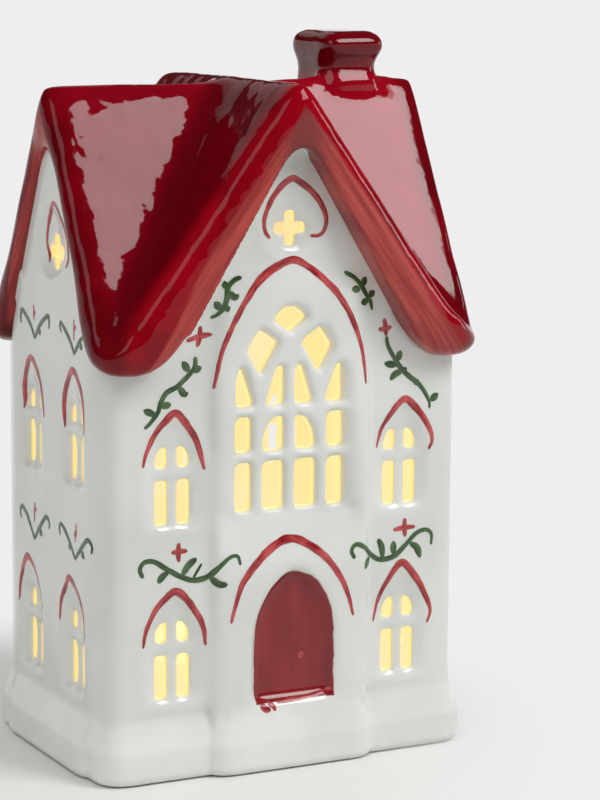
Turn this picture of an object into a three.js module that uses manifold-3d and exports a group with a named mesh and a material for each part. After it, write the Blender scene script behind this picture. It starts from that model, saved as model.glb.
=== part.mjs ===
// A ceramic light-up house: glazed wall and roof castings over a battery lamp in the base.
// Millimetres, +Z up, the front door faces -Y, and z = 0 is the table.
import * as THREE from "three";
import { mergeVertices } from "three/addons/utils/BufferGeometryUtils.js";
import Module from "manifold-3d";

const wasm = await Module();
wasm.setup();

// Fits between separate pieces
const seam = 0.3; // glaze joint and plain assembly gap
const slip = 0.3; // running gap round anything that slides or lifts out

// Wall casting
const wallHalfWidth = 64;
const wallHalfDepth = 44.5;
const wallThickness = 4.5;
const wallCornerRadius = 5.5;
const plinthProjection = 3.5;
const plinthHeight = 20;
const plinthBandHeight = 11;
const plinthEdgeRound = 2.4;
const floorUnderside = 6;
const floorThickness = 5;
const footRingWidth = 6;

// Bays that stand out of the front and of the two sides
const frontBayProjection = 3.7;
const sideBayProjection = 2;
const sideBayHalfWidth = 35;
const bayPlinthMargin = 3.6;
const bayPlinthRound = 5;

// Small windows, measured from the bottom of their tall panes
const smallPaneWidth = 4.2;
const smallPaneHeight = 14.3;
const smallMullion = 3.7;
const smallTransom = 4.3;
const smallUpperHeight = 6.8;
const smallPanelMargin = 3.1;
const smallMouldingWidth = 3.2;
const smallArchSpring = 18.3;
const smallArchApex = 39;
const mouldingProud = 1.4;
const panelRecess = 0.9;
const frontWindowSpacing = 41.6;
const sideWindowSpacing = 17.8;
const frontLowerSill = 27;
const frontUpperSill = 84.2;
const sideLowerSill = 27.6;
const sideUpperSill = 95.8;

// Large traceried window in the front bay
const largeSill = 86.2;
const largeMullion = 4.1;
const largeTransom = 3.6;
const innerPaneWidth = 7.65;
const outerPaneWidth = 5.95;
const lowPaneHeight = 15.8;
const archPaneHeight = 11.4;
const lancetPaneHeight = 12.6;
const largeBorder = 8.65;
const bayArchSpring = 126;
const bayArchApex = 168;
const traceryFill = 0.76; // share of the arch above the lancets that the kites and the fan take
const traceryRecess = 3.5;
const traceryMargin = 5.2;

// Door and its hood
const doorHalfWidth = 14.3;
const doorSill = 23;
const doorSpring = 43;
const doorApex = 66.5;
const doorRecess = 3;
const hoodMargin = 9.8;
const hoodProud = 1.2;

// Gable ornaments: a raised drop-shaped rim, a dished field and a cross cut through it
const ornamentHalfWidth = 13.8;
const ornamentDrop = 11;
const ornamentShoulder = 4;
const ornamentRise = 20;
const ornamentRim = 3.2;
const ornamentDish = 3.6;
const frontCrossDrop = 32.7; // below the soffits' ridge
const sideCrossDrop = 42.1;
const crossReach = 5.6;
const crossArm = 1.8;

// Roof casting: two crossed gables with swept eaves
const roofSideOverhang = 5.3;
const roofEndOverhang = 9.5;
const roofCornerRadius = 9;
const roofPeak = 228.5;
const roofCrown = 5.5;
const eaveHeight = 139.5;
const longFlareRun = 19.3;
const longFlareRise = 20.7;
const shortFlareRun = 11;
const shortFlareRise = 7.5;
const ridgeThickness = 18; // from the ridge down to the soffits' ridge
const eaveThickness = 7;
const soffitCrown = 8;
const longEaveLip = 11;
const longSoffitFlareRun = 20;
const longSoffitFlareRise = 15.5;
const shortEaveLip = 5;
const shortSoffitFlareRun = 17;
const shortSoffitFlareRise = 12.5;
const lipRound = 5;
const roofSkinRise = 10;

// Chimney behind the right-hand ridge
const chimneyInset = 24.9; // from the roof's end to the chimney's middle
const chimneyY = 7.6;
const chimneyHalfWidth = 10.6;
const chimneyHalfDepth = 13.4;
const chimneyWaist = 1.6;
const chimneyRise = 11; // above the ridge
const chimneyCapHeight = 12;
const chimneyRoot = 45;

// Battery lamp
const moduleRadius = 35.5;
const moduleWall = 2;
const flangeReach = 5; // past the pot
const flangeThickness = 2;
const sealLip = 0.8;
const sealCollar = 1.3;
const rimOverBoard = 7.4;
const batteryRadius = 5.25;
const batteryNubRadius = 1.9;
const batteryNubLength = 1;
const batteryPitch = 11.1;
const springLength = 6.6;
const contactThickness = 0.5;
const contactHalfWidth = 4.4;
const bayWallThickness = 1.5;
const coverLap = 2;
const coverThickness = 2;
const ledgeThickness = 1.6;
const tabRadius = 4.6;
const screwInset = 5.4; // from the pot's outside to the cover screw
const screwSetback = 4; // from the cells' bay to the cover screw
const screwHeadRadius = 2.6;
const screwHeadHeight = 1.2;
const screwShaftRadius = 1.3;
const screwLength = 8;
const bossMargin = 1.2;
const boardClearance = 3.2; // over the cells' bay
const boardThickness = 1.6;
const boardMargin = 1;
const columnRadius = 3;
const columnInset = 6;
const boardScrewHeadRadius = 2.3;
const boardScrewHeadHeight = 1.5;
const boardScrewShaftRadius = 1.1;
const boardScrewLength = 7;
const lampInset = 9; // from the lid's opening
const lampRadius = 2.5;
const lampHeight = 8.6;
const capThickness = 1.6;
const capSpigot = 3;
const capRingWidth = 13.5;
const diffuserInset = 0.5;
const diffuserHeight = 17;
const diffuserWall = 1.4;
const diffuserFlange = 2.5;
const chipLength = 5;
const chipWidth = 4;
const chipHeight = 1.6;

// Slide switch: off, on and timer
const switchInset = 7.3; // from the pot's outside to the middle of the knob
const switchTravel = 3;
const knobSize = 3.2;
const knobProud = 1.3;
const switchBodyHalfLength = 7.6;
const switchBodyHalfWidth = 3.2;
const switchBodyHeight = 5.8;
const wiperHalfLength = 2.6;
const wiperThickness = 1.6;

const leadRadius = 0.6;

// Sizes worked out from the ones above
const floorTop = floorUnderside + floorThickness;
const frontPlane = wallHalfDepth + frontBayProjection;
const sidePlane = wallHalfWidth + sideBayProjection;
const sideWindowPlane = sidePlane - mouldingProud / 2;
const bayHalfWidth = largeMullion / 2 + innerPaneWidth + largeMullion + outerPaneWidth + largeBorder;
const largeKnee = largeSill + lowPaneHeight + largeTransom + archPaneHeight + largeTransom;
const kiteFoot = largeKnee + lancetPaneHeight - largeTransom + 0.8;
const tracerySpan = traceryFill * (bayArchApex - traceryMargin * 1.4 - kiteFoot);
const cavityHalfWidth = wallHalfWidth - wallThickness;
const cavityHalfDepth = wallHalfDepth - wallThickness;
const roofHalfWidth = wallHalfWidth + roofSideOverhang;
const roofHalfDepth = wallHalfDepth + roofEndOverhang;
const soffitPeak = roofPeak - ridgeThickness;
const soffitEave = eaveHeight - eaveThickness;
const longSoffitRun = roofHalfWidth - longEaveLip;
const shortSoffitRun = roofHalfDepth - shortEaveLip;
const frontCrossHeight = soffitPeak - frontCrossDrop;
const sideCrossHeight = soffitPeak - sideCrossDrop;
const chimneyTop = roofPeak + chimneyRise;
const chimneyX = roofHalfWidth - chimneyInset;
const moduleBottom = floorUnderside - sealLip - flangeThickness;
const plateTop = moduleBottom + flangeThickness;
const moduleBore = moduleRadius - moduleWall;
const flangeRadius = moduleRadius + flangeReach;
const floorHoleRadius = moduleRadius + slip + sealCollar + slip;
const screwX = moduleRadius - screwInset;
const columnCircle = moduleRadius - columnInset;
const capOpening = moduleRadius - capRingWidth;
const diffuserRadius = capOpening - diffuserInset;
const lampCircle = capOpening - lampInset;
const switchY = moduleRadius - switchInset;
const batteryAxisZ = plateTop + slip + batteryRadius;
const bayCeiling = batteryAxisZ + batteryRadius + slip;
const batteryBayHalfLength = screwX - screwSetback;
const batteryLength = 2 * (batteryBayHalfLength - slip) - springLength - contactThickness;
const batteryBayHalfWidth = batteryPitch + batteryRadius + slip;
const coverHalfLength = batteryBayHalfLength + coverLap;
const coverHalfWidth = batteryBayHalfWidth + coverLap;
const boardHeight = bayCeiling + bayWallThickness + boardClearance;
const boardTop = boardHeight + boardThickness;
const housingRim = boardTop + rimOverBoard;
const capTop = housingRim + capThickness;

const ROUND = 2 * Math.PI;
const RIGHT_ANGLE = Math.PI / 2;

// Turns a closed three.js geometry into a solid that can be joined and cut.
function solidOf(geometry) {
  const bare = geometry.clone();
  bare.deleteAttribute("normal");
  bare.deleteAttribute("uv");
  const merged = mergeVertices(bare, 1e-4);
  const vertProperties = merged.attributes.position.array;
  const triVerts = new Uint32Array(merged.index.array);
  return new wasm.Manifold(new wasm.Mesh({ numProp: 3, vertProperties, triVerts }));
}

// Turns a joined or cut solid back into a geometry.
function geometryOf(solid) {
  const mesh = solid.getMesh();
  const geometry = new THREE.BufferGeometry();
  geometry.setAttribute("position", new THREE.BufferAttribute(mesh.vertProperties, 3));
  geometry.setIndex(new THREE.BufferAttribute(mesh.triVerts, 1));
  geometry.computeVertexNormals();
  return geometry;
}

// An outline in X and Z, solid from yFrom to yTo.
function standing(outline, yFrom, yTo, curveSegments = 6) {
  const depth = yTo - yFrom;
  const geometry = new THREE.ExtrudeGeometry(outline, { depth, bevelEnabled: false, curveSegments });
  return geometry.rotateX(RIGHT_ANGLE).translate(0, yTo, 0);
}

// An outline in X and Y, solid from zFrom to zTo.
function lying(outline, zFrom, zTo, curveSegments = 6) {
  const depth = zTo - zFrom;
  const geometry = new THREE.ExtrudeGeometry(outline, { depth, bevelEnabled: false, curveSegments });
  return geometry.translate(0, 0, zFrom);
}

function block(halfX, halfY, zFrom, zTo, x = 0, y = 0) {
  return new THREE.BoxGeometry(2 * halfX, 2 * halfY, zTo - zFrom).translate(x, y, (zFrom + zTo) / 2);
}

function post(radius, zFrom, zTo, x = 0, y = 0, sides = 20) {
  const geometry = new THREE.CylinderGeometry(radius, radius, zTo - zFrom, sides);
  return geometry.rotateX(RIGHT_ANGLE).translate(x, y, (zFrom + zTo) / 2);
}

// A turned shape about the Z axis, from [radius, height] pairs listed from the axis outwards and up.
function turned(profile, sides = 48) {
  const points = profile.map(([radius, height]) => new THREE.Vector2(radius, height));
  return new THREE.LatheGeometry(points, sides).rotateX(RIGHT_ANGLE);
}

function roundedRectangle(halfX, halfY, radius) {
  const outline = new THREE.Shape();
  outline.moveTo(halfX, radius - halfY);
  outline.absarc(halfX - radius, halfY - radius, radius, 0, RIGHT_ANGLE);
  outline.absarc(radius - halfX, halfY - radius, radius, RIGHT_ANGLE, 2 * RIGHT_ANGLE);
  outline.absarc(radius - halfX, radius - halfY, radius, 2 * RIGHT_ANGLE, 3 * RIGHT_ANGLE);
  outline.absarc(halfX - radius, radius - halfY, radius, 3 * RIGHT_ANGLE, ROUND);
  return outline;
}

// Rounded rectangles stacked like the courses of a chimney: [z, halfX, halfY, radius] each.
function stacked(courses, perCorner = 5) {
  const count = 4 * perCorner;
  const positions = [];
  for (const [z, halfX, halfY, radius] of courses) {
    for (let corner = 0; corner < 4; corner += 1) {
      const signX = corner === 0 || corner === 3 ? 1 : -1;
      const signY = corner < 2 ? 1 : -1;
      for (let step = 0; step < perCorner; step += 1) {
        const angle = (corner + step / (perCorner - 1)) * RIGHT_ANGLE;
        const x = signX * (halfX - radius) + radius * Math.cos(angle);
        const y = signY * (halfY - radius) + radius * Math.sin(angle);
        positions.push(x, y, z);
      }
    }
  }
  const indices = [];
  for (let course = 0; course + 1 < courses.length; course += 1) {
    for (let i = 0; i < count; i += 1) {
      const a = course * count + i;
      const b = course * count + ((i + 1) % count);
      indices.push(a, b, b + count, a, b + count, a + count);
    }
  }
  const top = (courses.length - 1) * count;
  for (let i = 1; i + 1 < count; i += 1) {
    indices.push(0, i + 1, i);
    indices.push(top, top + i, top + i + 1);
  }
  const geometry = new THREE.BufferGeometry();
  geometry.setAttribute("position", new THREE.Float32BufferAttribute(positions, 3));
  geometry.setIndex(indices);
  return geometry;
}

// A pointed arch: upright sides to the spring, then two arcs that meet at the apex.
function lancet(halfWidth, bottom, spring, apex, centreX = 0) {
  const rise = apex - spring;
  const radius = (halfWidth ** 2 + rise ** 2) / (2 * halfWidth);
  const reach = radius - halfWidth;
  const sweep = Math.atan2(rise, reach);
  const outline = new THREE.Shape();
  outline.moveTo(centreX - halfWidth, bottom);
  outline.lineTo(centreX + halfWidth, bottom);
  outline.absarc(centreX - reach, spring, radius, 0, sweep);
  outline.absarc(centreX + reach, spring, radius, Math.PI - sweep, Math.PI);
  return outline;
}

function polygon(points) {
  return new THREE.Shape(points.map(([x, y]) => new THREE.Vector2(x, y)));
}

// The same outline on the other side of the middle line.
function mirrored(outline) {
  const points = outline.getPoints(4).map((p) => new THREE.Vector2(-p.x, p.y));
  return new THREE.Shape(points.reverse());
}

// The wall faces: each turns work done on the front face about the Z axis.
const FRONT = 0;
const RIGHT = RIGHT_ANGLE;
const BACK = 2 * RIGHT_ANGLE;
const LEFT = 3 * RIGHT_ANGLE;

// A slab of an outline on a face, from the depth `inner` out to `outer`, both from the house's axis.
function onFace(face, outline, inner, outer, curveSegments = 5) {
  return solidOf(standing(outline, -outer, -inner, curveSegments).rotateZ(face));
}

// Where the small windows are: the face, its plane, and each window's centre and sill.
const smallWindows = [];
for (const side of [-1, 1]) {
  for (const sill of [frontLowerSill, frontUpperSill]) {
    smallWindows.push({ face: FRONT, plane: wallHalfDepth, centre: side * frontWindowSpacing, sill });
    smallWindows.push({ face: BACK, plane: wallHalfDepth, centre: side * frontWindowSpacing, sill });
  }
  for (const sill of [sideLowerSill, sideUpperSill]) {
    smallWindows.push({ face: LEFT, plane: sideWindowPlane, centre: side * sideWindowSpacing, sill });
    smallWindows.push({ face: RIGHT, plane: sideWindowPlane, centre: side * sideWindowSpacing, sill });
  }
}
for (const sill of [frontLowerSill, frontUpperSill]) {
  smallWindows.push({ face: BACK, plane: wallHalfDepth, centre: 0, sill });
}

const ornaments = [
  { face: FRONT, rim: frontPlane, height: frontCrossHeight },
  { face: BACK, rim: wallHalfDepth + mouldingProud, height: frontCrossHeight },
  { face: LEFT, rim: sidePlane + mouldingProud / 2, height: sideCrossHeight },
  { face: RIGHT, rim: sidePlane + mouldingProud / 2, height: sideCrossHeight },
];

const panelHalfWidth = smallMullion / 2 + smallPaneWidth + smallPanelMargin;

function smallMoulding(centre, sill) {
  const halfWidth = panelHalfWidth + smallMouldingWidth;
  const bottom = sill - smallMouldingWidth;
  return lancet(halfWidth, bottom, sill + smallArchSpring, sill + smallArchApex, centre);
}

function smallPanel(centre, sill) {
  const bottom = sill - smallMouldingWidth / 2;
  const apex = sill + smallArchApex - smallMouldingWidth - smallPanelMargin / 2;
  return lancet(panelHalfWidth, bottom, sill + smallArchSpring, apex, centre);
}

// Two tall panes below and two quarter-arch panes above.
function smallPanes(centre, sill) {
  const near = smallMullion / 2;
  const far = near + smallPaneWidth;
  const upper = sill + smallPaneHeight + smallTransom;
  const top = upper + smallUpperHeight;
  const panes = [];
  for (const side of [-1, 1]) {
    const order = side > 0 ? [near, far] : [-far, -near];
    panes.push(
      polygon([
        [centre + order[0], sill],
        [centre + order[1], sill],
        [centre + order[1], sill + smallPaneHeight],
        [centre + order[0], sill + smallPaneHeight],
      ]),
    );
    const arch = new THREE.Shape();
    arch.moveTo(centre + side * near, upper);
    arch.lineTo(centre + side * far, upper);
    arch.quadraticCurveTo(centre + side * far, top, centre + side * near, top);
    panes.push(arch);
  }
  return panes;
}

function crossOutline(height) {
  const a = crossArm;
  const r = crossReach;
  const corners = [
    [a, -r],
    [a, -a],
    [r, -a],
    [r, a],
    [a, a],
    [a, r],
    [-a, r],
    [-a, a],
    [-r, a],
    [-r, -a],
    [-a, -a],
    [-a, -r],
  ];
  return polygon(corners.map(([x, z]) => [x, z + height]));
}

// The drop shape round a cross, drawn in from its edge by `inset`.
function ornamentOutline(height, inset) {
  const halfWidth = ornamentHalfWidth - inset;
  const shoulder = height + ornamentShoulder;
  const foot = height - ornamentDrop + inset;
  const apex = height + ornamentRise - 1.4 * inset;
  const outline = new THREE.Shape();
  outline.moveTo(0, foot);
  outline.quadraticCurveTo(halfWidth, foot, halfWidth, shoulder);
  outline.quadraticCurveTo(halfWidth * 0.8, (shoulder + apex) / 2, 0, apex);
  outline.quadraticCurveTo(-halfWidth * 0.8, (shoulder + apex) / 2, -halfWidth, shoulder);
  outline.quadraticCurveTo(-halfWidth, foot, 0, foot);
  return outline;
}

// The panes of the large window: rectangles, quarter arches, lancets, two kites and a fan.
function largePanes() {
  const inner = largeMullion / 2;
  const innerFar = inner + innerPaneWidth;
  const outer = innerFar + largeMullion;
  const outerFar = outer + outerPaneWidth;
  const archSill = largeSill + lowPaneHeight + largeTransom;
  const archTop = archSill + archPaneHeight;
  const lancetTop = largeKnee + lancetPaneHeight;
  const fanFoot = kiteFoot + 0.59 * tracerySpan;
  const fanShoulder = kiteFoot + 0.8 * tracerySpan;
  const right = [];
  right.push(rectangle(inner, innerFar, largeSill, largeSill + lowPaneHeight));
  right.push(rectangle(outer, outerFar, largeSill, largeSill + lowPaneHeight));
  right.push(rectangle(outer, outerFar, archSill, archTop));
  const quarter = new THREE.Shape();
  quarter.moveTo(inner, archSill);
  quarter.lineTo(innerFar, archSill);
  quarter.quadraticCurveTo(innerFar, archTop, inner, archTop);
  right.push(quarter);
  right.push(
    polygon([
      [inner, largeKnee],
      [innerFar - 1, largeKnee],
      [inner + 2.6, lancetTop],
      [inner, lancetTop],
    ]),
  );
  right.push(
    polygon([
      [outer - 1, largeKnee],
      [outerFar - 0.3, largeKnee],
      [outerFar - 0.6, lancetTop],
      [outerFar - 2.6, lancetTop],
    ]),
  );
  right.push(
    polygon([
      [innerFar + 0.9, kiteFoot],
      [outer + 1.8, kiteFoot + 0.38 * tracerySpan],
      [innerFar + 1.5, kiteFoot + 0.65 * tracerySpan],
      [inner + 2.1, kiteFoot + 0.46 * tracerySpan],
    ]),
  );
  const fan = new THREE.Shape();
  fan.moveTo(0, fanFoot);
  fan.lineTo(innerFar - 3.4, fanShoulder);
  fan.quadraticCurveTo(0, kiteFoot + 1.12 * tracerySpan, 3.4 - innerFar, fanShoulder);
  return [...right, ...right.map(mirrored), fan];
}

function rectangle(left, right, bottom, top) {
  return polygon([
    [left, bottom],
    [right, bottom],
    [right, top],
    [left, top],
  ]);
}

// A plinth course round a wall: a rounded lower edge, an upright band and a sloping top.
function plinthCourse(wallX, wallY, wallRadius) {
  const halfX = wallX + plinthProjection;
  const halfY = wallY + plinthProjection;
  const radius = wallRadius + plinthProjection;
  const tuck = plinthEdgeRound;
  return stacked([
    [0, halfX - tuck, halfY - tuck, radius - tuck / 2],
    [tuck / 3, halfX - tuck / 3, halfY - tuck / 3, radius],
    [tuck, halfX, halfY, radius],
    [plinthBandHeight, halfX, halfY, radius],
    [plinthHeight, wallX, wallY, wallRadius],
  ]);
}

// The plinth where it steps out in front of a bay.
function bayPlinth(face, plane, halfWidth) {
  const halfDepth = plane / 2;
  const course = plinthCourse(halfWidth, halfDepth, bayPlinthRound);
  return solidOf(course.translate(0, -halfDepth, 0).rotateZ(face));
}

// One gable's outline: a rounded crown, straight rakes and an eave that sweeps out level.
function gableOutline(gable) {
  const { run, flareRun, flareRise, peak, eave, crown, reach, bottom } = gable;
  const kneeX = run - flareRun;
  const slope = (peak - eave - flareRise) / kneeX;
  const turnX = kneeX + flareRise / slope;
  const outline = new THREE.Shape();
  outline.moveTo(-reach, bottom);
  outline.lineTo(reach, bottom);
  outline.lineTo(reach, eave);
  outline.lineTo(run, eave);
  outline.quadraticCurveTo(turnX, eave, kneeX, eave + flareRise);
  outline.lineTo(crown, peak - slope * crown);
  outline.quadraticCurveTo(0, peak, -crown, peak - slope * crown);
  outline.lineTo(-kneeX, eave + flareRise);
  outline.quadraticCurveTo(-turnX, eave, -run, eave);
  outline.lineTo(-reach, eave);
  return outline;
}

// Two gables crossing at the middle of the house, each longer than the house is wide.
function crossedGables(longGable, shortGable) {
  const length = 2 * roofHalfWidth;
  const long = solidOf(standing(gableOutline(longGable), -length, length));
  const short = solidOf(standing(gableOutline(shortGable), -length, length).rotateZ(RIGHT_ANGLE));
  return long.add(short);
}

// The roof's upper surface as a solid down to `bottom`, shifted down by `lowered`.
function outerGables(lowered, bottom) {
  const shared = {
    peak: roofPeak - lowered,
    eave: eaveHeight - lowered,
    crown: roofCrown,
    reach: 2 * roofHalfWidth,
    bottom,
  };
  return crossedGables(
    { ...shared, run: roofHalfWidth, flareRun: longFlareRun, flareRise: longFlareRise },
    { ...shared, run: roofHalfDepth, flareRun: shortFlareRun, flareRise: shortFlareRise },
  );
}

// The space under the soffits, shifted down by `lowered`.
function soffitSpace(lowered, bottom) {
  const shared = {
    peak: soffitPeak - lowered,
    eave: soffitEave - lowered,
    crown: soffitCrown,
    reach: 2 * roofHalfWidth,
    bottom,
  };
  return crossedGables(
    { ...shared, run: longSoffitRun, flareRun: longSoffitFlareRun, flareRise: longSoffitFlareRise },
    { ...shared, run: shortSoffitRun, flareRun: shortSoffitFlareRun, flareRise: shortSoffitFlareRise },
  );
}

// The plain masses of the walls: shell, plinth, bays and the door's hood.
function wallMasses() {
  const above = roofPeak;
  const plan = roundedRectangle(wallHalfWidth, wallHalfDepth, wallCornerRadius);
  let body = solidOf(plinthCourse(wallHalfWidth, wallHalfDepth, wallCornerRadius));
  body = body.add(solidOf(lying(plan, plinthBandHeight, above)));
  body = body.add(bayPlinth(FRONT, frontPlane, bayHalfWidth));
  const frontBay = lancet(bayHalfWidth, plinthBandHeight, bayArchSpring, bayArchApex);
  body = body.add(onFace(FRONT, frontBay, cavityHalfDepth, frontPlane, 10));
  for (const face of [LEFT, RIGHT]) {
    const panel = rectangle(-sideBayHalfWidth, sideBayHalfWidth, plinthBandHeight, above);
    body = body.add(bayPlinth(face, sidePlane, sideBayHalfWidth - bayPlinthMargin / 2));
    body = body.add(onFace(face, panel, cavityHalfWidth, sidePlane));
  }
  const hoodSide = doorHalfWidth + hoodMargin;
  const hoodApex = doorApex + hoodMargin * 1.3;
  const hood = lancet(hoodSide, plinthBandHeight, doorSpring + hoodMargin / 3, hoodApex);
  return body.add(onFace(FRONT, hood, cavityHalfDepth, frontPlane + hoodProud, 8));
}

// The room inside the walls and the recess and lamp hole under the floor.
function wallHollows() {
  const room = roundedRectangle(cavityHalfWidth, cavityHalfDepth, wallCornerRadius / 2);
  const recessX = wallHalfWidth + plinthProjection - footRingWidth;
  const recessY = wallHalfDepth + plinthProjection - footRingWidth;
  const recess = roundedRectangle(recessX, recessY, wallCornerRadius);
  const hollow = solidOf(lying(room, floorTop, roofPeak + 1, 3));
  const underside = solidOf(lying(recess, -1, floorUnderside, 4));
  return hollow.add(underside).add(solidOf(post(floorHoleRadius, 0, floorTop + 1, 0, 0, 48)));
}

// The door and the traceried field of the front bay, with its panes cut through.
function frontBayCuts() {
  const door = lancet(doorHalfWidth, doorSill, doorSpring, doorApex);
  const outside = frontPlane + 2 * doorRecess;
  let cuts = onFace(FRONT, door, frontPlane - doorRecess, outside, 8);
  const fieldBottom = largeSill - largeBorder / 3;
  const fieldApex = bayArchApex - traceryMargin * 1.4;
  const field = lancet(bayHalfWidth - traceryMargin, fieldBottom, bayArchSpring, fieldApex);
  cuts = cuts.add(onFace(FRONT, field, frontPlane - traceryRecess, outside, 8));
  for (const pane of largePanes()) {
    cuts = cuts.add(onFace(FRONT, pane, cavityHalfDepth - 1, outside, 3));
  }
  return cuts;
}

// The wall casting: masses, mouldings and ornaments, less the hollows, cut to sit under the roof.
function wallCasting() {
  let body = wallMasses();
  for (const { face, plane, centre, sill } of smallWindows) {
    const moulding = smallMoulding(centre, sill);
    body = body.add(onFace(face, moulding, plane - wallThickness / 2, plane + mouldingProud));
  }
  for (const { face, rim, height } of ornaments) {
    const outline = ornamentOutline(height, 0);
    body = body.add(onFace(face, outline, rim - ornamentDish - 1, rim));
  }
  body = body.subtract(wallHollows()).subtract(frontBayCuts());
  for (const { face, plane, centre, sill } of smallWindows) {
    const panel = smallPanel(centre, sill);
    body = body.subtract(onFace(face, panel, plane - panelRecess, plane + wallThickness));
    for (const pane of smallPanes(centre, sill)) {
      body = body.subtract(onFace(face, pane, plane - 2 * wallThickness, plane + wallThickness, 3));
    }
  }
  for (const { face, rim, height } of ornaments) {
    const field = ornamentOutline(height, ornamentRim);
    body = body.subtract(onFace(face, field, rim - ornamentDish, rim + 1));
    body = body.subtract(onFace(face, crossOutline(height), rim - 3 * wallThickness, rim));
  }
  return body.intersect(soffitSpace(seam, -1));
}

// The roof: crossed gables cut to a rounded plan, hollowed above the soffits and over the room.
function roofCasting() {
  const low = soffitEave;
  const rim = [
    [0, 1],
    [0.2, 0.65],
    [0.55, 0.25],
    [1, 0],
  ];
  const courses = rim.map(([rise, tuck]) => [
    low + rise * lipRound,
    roofHalfWidth - tuck * lipRound,
    roofHalfDepth - tuck * lipRound,
    roofCornerRadius,
  ]);
  courses.push([roofPeak + 1, roofHalfWidth, roofHalfDepth, roofCornerRadius]);
  const body = outerGables(0, low).intersect(solidOf(stacked(courses)));
  const room = solidOf(block(cavityHalfWidth, cavityHalfDepth, 0, roofPeak));
  return body.subtract(soffitSpace(0, 0)).subtract(outerGables(roofSkinRise, 0).intersect(room));
}

// The chimney: a waisted block with a pillowed cap, its foot cut to sit over the roof.
function chimneyCasting() {
  const capFoot = chimneyTop - chimneyCapHeight;
  const cap = [
    [-0.4, -0.7, 4],
    [-0.1, -0.95, 4],
    [0.1, -0.8, 4],
    [0.35, -0.3, 3.7],
    [0.55, 0, 3.7],
    [0.78, -0.2, 3.5],
    [0.93, -1, 3.5],
    [1, -2, 3.5],
  ];
  const rings = [[chimneyTop - chimneyRoot, -chimneyWaist, 4]];
  for (const [rise, swell, corner] of cap) {
    rings.push([capFoot + rise * chimneyCapHeight, swell * chimneyWaist, corner]);
  }
  const courses = rings.map(([z, swell, corner]) => {
    return [z, chimneyHalfWidth + swell, chimneyHalfDepth + swell, corner];
  });
  const stack = solidOf(stacked(courses).translate(chimneyX, chimneyY, 0));
  return stack.subtract(outerGables(-seam, 0));
}

// The outline of the battery cover, with a tab for its screw, grown by a clearance.
function coverOutline(grow) {
  const halfX = coverHalfLength + grow;
  const halfY = coverHalfWidth + grow;
  const tab = tabRadius + grow;
  const outline = new THREE.Shape();
  outline.moveTo(-halfX, -halfY);
  outline.lineTo(halfX, -halfY);
  outline.lineTo(halfX, -tab);
  outline.lineTo(screwX, -tab);
  outline.absarc(screwX, 0, tab, -RIGHT_ANGLE, RIGHT_ANGLE);
  outline.lineTo(halfX, tab);
  outline.lineTo(halfX, halfY);
  outline.lineTo(-halfX, halfY);
  return outline;
}

// Where the board's three columns stand, clear of the battery bay and of the switch.
const columnPlaces = [60, 180, 300].map((degrees) => {
  const angle = THREE.MathUtils.degToRad(degrees);
  return [columnCircle * Math.cos(angle), columnCircle * Math.sin(angle)];
});

// The housing: a flanged pot with the battery bay, switch slot and board columns moulded in.
function lampHousing() {
  const pot = turned([
    [0, moduleBottom],
    [flangeRadius, moduleBottom],
    [flangeRadius, plateTop],
    [moduleRadius, plateTop],
    [moduleRadius, housingRim],
    [moduleBore, housingRim],
    [moduleBore, plateTop],
    [0, plateTop],
  ]);
  let body = solidOf(pot);
  const ledge = solidOf(
    block(coverHalfLength + coverLap, coverHalfWidth + coverLap, moduleBottom, plateTop + ledgeThickness),
  );
  body = body.add(ledge.intersect(solidOf(post(moduleBore + moduleWall / 2, 0, housingRim, 0, 0, 48))));
  const wall = bayWallThickness;
  const bayTop = bayCeiling + wall;
  const bay = block(batteryBayHalfLength + wall, batteryBayHalfWidth + wall, moduleBottom, bayTop);
  body = body.add(solidOf(bay));
  const bossTop = plateTop + screwLength;
  body = body.add(solidOf(post(screwHeadRadius + bossMargin, moduleBottom, bossTop, screwX)));
  for (const [x, y] of columnPlaces) {
    body = body.add(solidOf(post(columnRadius, moduleBottom, boardHeight, x, y)));
    const pilotFoot = boardHeight - boardScrewLength - 1;
    const pilot = post(boardScrewShaftRadius + slip / 2, pilotFoot, boardHeight + 1, x, y);
    body = body.subtract(solidOf(pilot));
  }
  body = body.subtract(solidOf(lying(coverOutline(slip), moduleBottom - 1, plateTop)));
  body = body.subtract(solidOf(block(batteryBayHalfLength, batteryBayHalfWidth, 0, bayCeiling)));
  body = body.subtract(solidOf(post(screwShaftRadius + slip / 2, 0, bossTop - 1, screwX)));
  const slotHalfX = knobSize / 2 + switchTravel + slip;
  const slot = block(slotHalfX, knobSize / 2 + slip, 0, plateTop + 1, 0, switchY);
  return body.subtract(solidOf(slot));
}

// The battery cover, with a counterbore for the screw head and three finger grooves.
function batteryCover() {
  const top = moduleBottom + coverThickness;
  let body = solidOf(lying(coverOutline(0), moduleBottom, top, 10));
  body = body.subtract(solidOf(post(screwShaftRadius + slip / 2, 0, top + 1, screwX)));
  const counterbore = post(screwHeadRadius + slip, 0, moduleBottom + screwHeadHeight, screwX);
  body = body.subtract(solidOf(counterbore));
  for (const step of [-1, 0, 1]) {
    const groove = block(0.6, coverHalfWidth / 3, 0, moduleBottom + 0.5, 3 * step - coverHalfLength / 2);
    body = body.subtract(solidOf(groove));
  }
  return body;
}

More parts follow.
